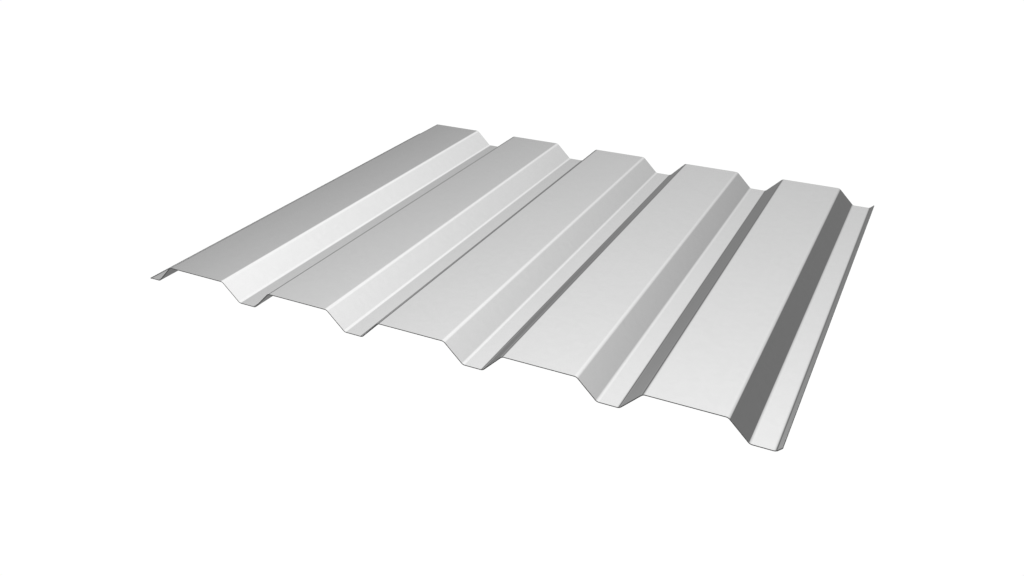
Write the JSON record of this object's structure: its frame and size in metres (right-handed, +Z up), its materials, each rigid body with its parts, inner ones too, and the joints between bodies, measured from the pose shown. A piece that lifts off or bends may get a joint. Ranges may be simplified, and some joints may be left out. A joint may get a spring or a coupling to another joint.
{
  "type": "trapezoidal corrugated metal sheet",
  "caption": "Roll-formed metal sheet with flat-topped parallel ribs, narrow flat troughs, a flat lap flange on one edge and a small upturned lip on the other, for roofs and walls.",
  "frame": {"origin": "middle of the sheet's width and length, at the level that the troughs rest on", "axes": "+X across the ribs towards the lip, +Y along the ribs, +Z up from the troughs to the crests"},
  "size_m": [1.0286, 0.84, 0.0315],
  "materials": {
    "galvanised_steel": "smooth satin zinc coating, neutral grey, with plain cut edges"
  },
  "bodies": {
    "root": {"profiled_sheet": "galvanised_steel"}
  },
  "joints": []
}
